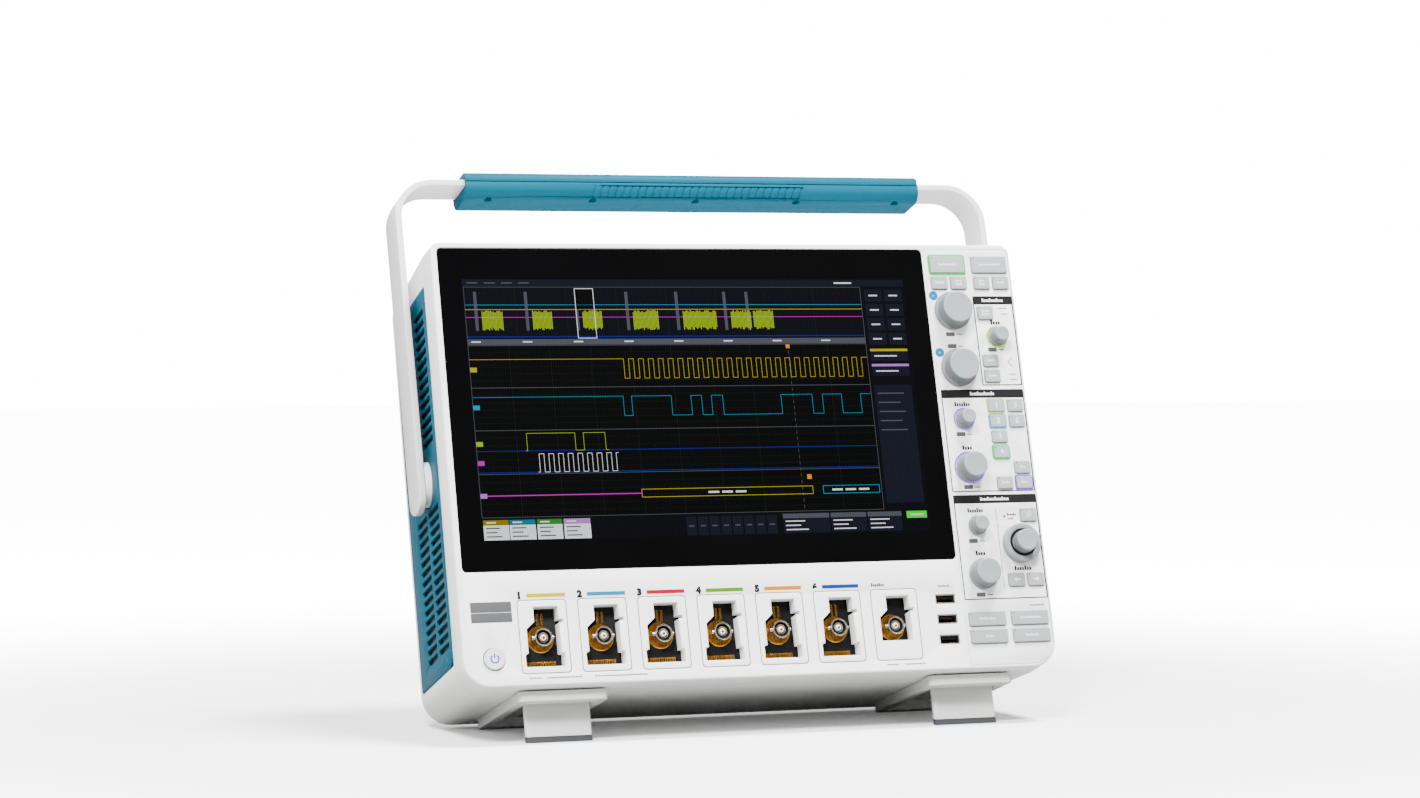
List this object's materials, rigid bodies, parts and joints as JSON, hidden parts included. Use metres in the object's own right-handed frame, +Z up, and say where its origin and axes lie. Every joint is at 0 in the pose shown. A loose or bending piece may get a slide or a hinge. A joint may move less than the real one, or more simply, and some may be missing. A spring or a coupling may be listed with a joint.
{
  "type": "oscilloscope",
  "caption": "Portable bench oscilloscope with a wide touch display, coaxial inputs, knobs and keys, tilted back on flip-down legs under a folding carry handle.",
  "frame": {"origin": "under the middle of the bounding box, on the surface it stands on, legs out and handle up", "axes": "+X to the right seen from the front, +Y from the front towards the back, +Z up"},
  "size_m": [0.4048, 0.2054, 0.351],
  "materials": {
    "white_case": "fine moulded texture",
    "blue_trim": "satin moulded",
    "black_glass": "gloss cover glass with a lit display behind",
    "key_grey": "satin",
    "knob_grey": "soft matt",
    "light_grey": "fine moulded texture",
    "strap_paint": "satin powder coat",
    "pad_rubber": "matt",
    "brass_contacts": "plated",
    "sheet_steel": "zinc plated sheet",
    "display_frame": "plain sheet",
    "supply_case": "plain sheet",
    "board_green": "solder mask",
    "black_plastic": "moulded"
  },
  "bodies": {
    "case": {"acquisition_board": "board_green", "chassis": "sheet_steel", "display_module": "display_frame", "fan_frame": "black_plastic", "foot_rail_left": "light_grey", "foot_rail_right": "light_grey", "front_bezel": "white_case", "front_panel_board": "board_green", "input_connectors": "brass_contacts", "power_inlet": "black_plastic", "power_supply": "supply_case", "rear_cover": "white_case", "rear_io_panel": "sheet_steel", "touch_glass": "black_glass", "usb_sockets": "sheet_steel", "vent_panel_left": "blue_trim", "vent_panel_right": "blue_trim"},
    "handle": {"handle_strap": "strap_paint", "grip_upper": "blue_trim", "grip_lower": "blue_trim"},
    "leg_left": {"leg_left": "light_grey", "leg_pad_left": "pad_rubber"},
    "leg_right": {"leg_right": "light_grey", "leg_pad_right": "pad_rubber"},
    "fan_rotor": {"fan_rotor": "black_plastic"},
    "key_autoset": {"key_autoset": "key_grey"},
    "key_bus": {"key_bus": "key_grey"},
    "key_channel_1": {"key_channel_1": "key_grey"},
    "key_channel_2": {"key_channel_2": "key_grey"},
    "key_channel_3": {"key_channel_3": "key_grey"},
    "key_channel_4": {"key_channel_4": "key_grey"},
    "key_channel_5": {"key_channel_5": "key_grey"},
    "key_channel_6": {"key_channel_6": "key_grey"},
    "key_clear": {"key_clear": "key_grey"},
    "key_cursors": {"key_cursors": "key_grey"},
    "key_default_setup": {"key_default_setup": "key_grey"},
    "key_fast_acquisition": {"key_fast_acquisition": "key_grey"},
    "key_force_trigger": {"key_force_trigger": "key_grey"},
    "key_high_resolution": {"key_high_resolution": "key_grey"},
    "key_math": {"key_math": "key_grey"},
    "key_navigate_left": {"key_navigate_left": "key_grey"},
    "key_navigate_right": {"key_navigate_right": "key_grey"},
    "key_power": {"key_power": "light_grey"},
    "key_reference": {"key_reference": "key_grey"},
    "key_run_stop": {"key_run_stop": "key_grey"},
    "key_save": {"key_save": "key_grey"},
    "key_single": {"key_single": "key_grey"},
    "key_slope": {"key_slope": "key_grey"},
    "key_touch_off": {"key_touch_off": "key_grey"},
    "key_trigger_mode": {"key_trigger_mode": "key_grey"},
    "key_zoom": {"key_zoom": "key_grey"},
    "knob_horizontal_position": {"knob_horizontal_position": "knob_grey"},
    "knob_horizontal_scale": {"knob_horizontal_scale": "knob_grey"},
    "knob_multipurpose_a": {"knob_multipurpose_a": "knob_grey"},
    "knob_multipurpose_b": {"knob_multipurpose_b": "knob_grey"},
    "knob_pan_ring": {"knob_pan_ring": "knob_grey"},
    "knob_trigger_level": {"knob_trigger_level": "knob_grey"},
    "knob_vertical_position": {"knob_vertical_position": "knob_grey"},
    "knob_vertical_scale": {"knob_vertical_scale": "knob_grey"},
    "knob_zoom": {"knob_zoom": "knob_grey"}
  },
  "joints": [
    {"name": "key_autoset_press", "type": "slide", "parent": "case", "child": "key_autoset", "axis": [0, 0.9633, -0.2685], "range_m": [0, 0.0012], "stiffness_N_per_m": 300},
    {"name": "key_bus_press", "type": "slide", "parent": "case", "child": "key_bus", "axis": [0, 0.9633, -0.2685], "range_m": [0, 0.0012], "stiffness_N_per_m": 300},
    {"name": "key_channel_1_press", "type": "slide", "parent": "case", "child": "key_channel_1", "axis": [0, 0.9633, -0.2685], "range_m": [0, 0.0012], "stiffness_N_per_m": 300},
    {"name": "key_channel_2_press", "type": "slide", "parent": "case", "child": "key_channel_2", "axis": [0, 0.9633, -0.2685], "range_m": [0, 0.0012], "stiffness_N_per_m": 300},
    {"name": "key_channel_3_press", "type": "slide", "parent": "case", "child": "key_channel_3", "axis": [0, 0.9633, -0.2685], "range_m": [0, 0.0012], "stiffness_N_per_m": 300},
    {"name": "key_channel_4_press", "type": "slide", "parent": "case", "child": "key_channel_4", "axis": [0, 0.9633, -0.2685], "range_m": [0, 0.0012], "stiffness_N_per_m": 300},
    {"name": "key_channel_5_press", "type": "slide", "parent": "case", "child": "key_channel_5", "axis": [0, 0.9633, -0.2685], "range_m": [0, 0.0012], "stiffness_N_per_m": 300},
    {"name": "key_channel_6_press", "type": "slide", "parent": "case", "child": "key_channel_6", "axis": [0, 0.9633, -0.2685], "range_m": [0, 0.0012], "stiffness_N_per_m": 300},
    {"name": "key_clear_press", "type": "slide", "parent": "case", "child": "key_clear", "axis": [0, 0.9633, -0.2685], "range_m": [0, 0.0012], "stiffness_N_per_m": 300},
    {"name": "key_cursors_press", "type": "slide", "parent": "case", "child": "key_cursors", "axis": [0, 0.9633, -0.2685], "range_m": [0, 0.0012], "stiffness_N_per_m": 300},
    {"name": "key_default_setup_press", "type": "slide", "parent": "case", "child": "key_default_setup", "axis": [0, 0.9633, -0.2685], "range_m": [0, 0.0012], "stiffness_N_per_m": 300},
    {"name": "key_fast_acquisition_press", "type": "slide", "parent": "case", "child": "key_fast_acquisition", "axis": [0, 0.9633, -0.2685], "range_m": [0, 0.0012], "stiffness_N_per_m": 300},
    {"name": "key_force_trigger_press", "type": "slide", "parent": "case", "child": "key_force_trigger", "axis": [0, 0.9633, -0.2685], "range_m": [0, 0.0012], "stiffness_N_per_m": 300},
    {"name": "key_high_resolution_press", "type": "slide", "parent": "case", "child": "key_high_resolution", "axis": [0, 0.9633, -0.2685], "range_m": [0, 0.0012], "stiffness_N_per_m": 300},
    {"name": "key_math_press", "type": "slide", "parent": "case", "child": "key_math", "axis": [0, 0.9633, -0.2685], "range_m": [0, 0.0012], "stiffness_N_per_m": 300},
    {"name": "key_navigate_left_press", "type": "slide", "parent": "case", "child": "key_navigate_left", "axis": [0, 0.9633, -0.2685], "range_m": [0, 0.0012], "stiffness_N_per_m": 300},
    {"name": "key_navigate_right_press", "type": "slide", "parent": "case", "child": "key_navigate_right", "axis": [0, 0.9633, -0.2685], "range_m": [0, 0.0012], "stiffness_N_per_m": 300},
    {"name": "key_power_press", "type": "slide", "parent": "case", "child": "key_power", "axis": [0, 0.9633, -0.2685], "range_m": [0, 0.0012], "stiffness_N_per_m": 300},
    {"name": "key_reference_press", "type": "slide", "parent": "case", "child": "key_reference", "axis": [0, 0.9633, -0.2685], "range_m": [0, 0.0012], "stiffness_N_per_m": 300},
    {"name": "key_run_stop_press", "type": "slide", "parent": "case", "child": "key_run_stop", "axis": [0, 0.9633, -0.2685], "range_m": [0, 0.0012], "stiffness_N_per_m": 300},
    {"name": "key_save_press", "type": "slide", "parent": "case", "child": "key_save", "axis": [0, 0.9633, -0.2685], "range_m": [0, 0.0012], "stiffness_N_per_m": 300},
    {"name": "key_single_press", "type": "slide", "parent": "case", "child": "key_single", "axis": [0, 0.9633, -0.2685], "range_m": [0, 0.0012], "stiffness_N_per_m": 300},
    {"name": "key_slope_press", "type": "slide", "parent": "case", "child": "key_slope", "axis": [0, 0.9633, -0.2685], "range_m": [0, 0.0012], "stiffness_N_per_m": 300},
    {"name": "key_touch_off_press", "type": "slide", "parent": "case", "child": "key_touch_off", "axis": [0, 0.9633, -0.2685], "range_m": [0, 0.0012], "stiffness_N_per_m": 300},
    {"name": "key_trigger_mode_press", "type": "slide", "parent": "case", "child": "key_trigger_mode", "axis": [0, 0.9633, -0.2685], "range_m": [0, 0.0012], "stiffness_N_per_m": 300},
    {"name": "key_zoom_press", "type": "slide", "parent": "case", "child": "key_zoom", "axis": [0, 0.9633, -0.2685], "range_m": [0, 0.0012], "stiffness_N_per_m": 300},
    {"name": "knob_multipurpose_a_turn", "type": "hinge", "parent": "case", "child": "knob_multipurpose_a", "pos_m": [0.1497, -0.04014, 0.26158], "axis": [0, -0.9633, 0.2685], "continuous": true},
    {"name": "knob_multipurpose_b_turn", "type": "hinge", "parent": "case", "child": "knob_multipurpose_b", "pos_m": [0.1497, -0.05034, 0.22497], "axis": [0, -0.9633, 0.2685], "continuous": true},
    {"name": "knob_trigger_level_turn", "type": "hinge", "parent": "case", "child": "knob_trigger_level", "pos_m": [0.1792, -0.04484, 0.24472], "axis": [0, -0.9633, 0.2685], "continuous": true},
    {"name": "knob_vertical_position_turn", "type": "hinge", "parent": "case", "child": "knob_vertical_position", "pos_m": [0.1493, -0.05947, 0.19222], "axis": [0, -0.9633, 0.2685], "continuous": true},
    {"name": "knob_vertical_scale_turn", "type": "hinge", "parent": "case", "child": "knob_vertical_scale", "pos_m": [0.1493, -0.06807, 0.1614], "axis": [0, -0.9633, 0.2685], "continuous": true},
    {"name": "knob_horizontal_position_turn", "type": "hinge", "parent": "case", "child": "knob_horizontal_position", "pos_m": [0.1497, -0.07827, 0.12479], "axis": [0, -0.9633, 0.2685], "continuous": true},
    {"name": "knob_horizontal_scale_turn", "type": "hinge", "parent": "case", "child": "knob_horizontal_scale", "pos_m": [0.15, -0.08673, 0.09445], "axis": [0, -0.9633, 0.2685], "continuous": true},
    {"name": "knob_zoom_turn", "type": "hinge", "parent": "case", "child": "knob_zoom", "pos_m": [0.1782, -0.08163, 0.11275], "axis": [0, -0.9633, 0.2685], "continuous": true},
    {"name": "knob_pan_ring_turn", "type": "hinge", "parent": "case", "child": "knob_pan_ring", "pos_m": [0.1782, -0.08163, 0.11275], "axis": [0, -0.9633, 0.2685], "range_deg": [-60, 60], "stiffness_Nm_per_rad": 0.03},
    {"name": "fan_spin", "type": "hinge", "parent": "case", "child": "fan_rotor", "pos_m": [0.166, 0.01901, 0.20564], "axis": [1, 0, 0], "continuous": true},
    {"name": "handle_fold", "type": "hinge", "parent": "case", "child": "handle", "pos_m": [0, -0.0139, 0.1546], "axis": [-1, 0, 0], "range_deg": [0, 88]},
    {"name": "leg_left_fold", "type": "hinge", "parent": "case", "child": "leg_left", "pos_m": [-0.1312, -0.07933, 0.02418], "axis": [1, 0, 0], "range_deg": [0, 90]},
    {"name": "leg_right_fold", "type": "hinge", "parent": "case", "child": "leg_right", "pos_m": [0.1372, -0.07933, 0.02418], "axis": [1, 0, 0], "range_deg": [0, 90]}
  ]
}
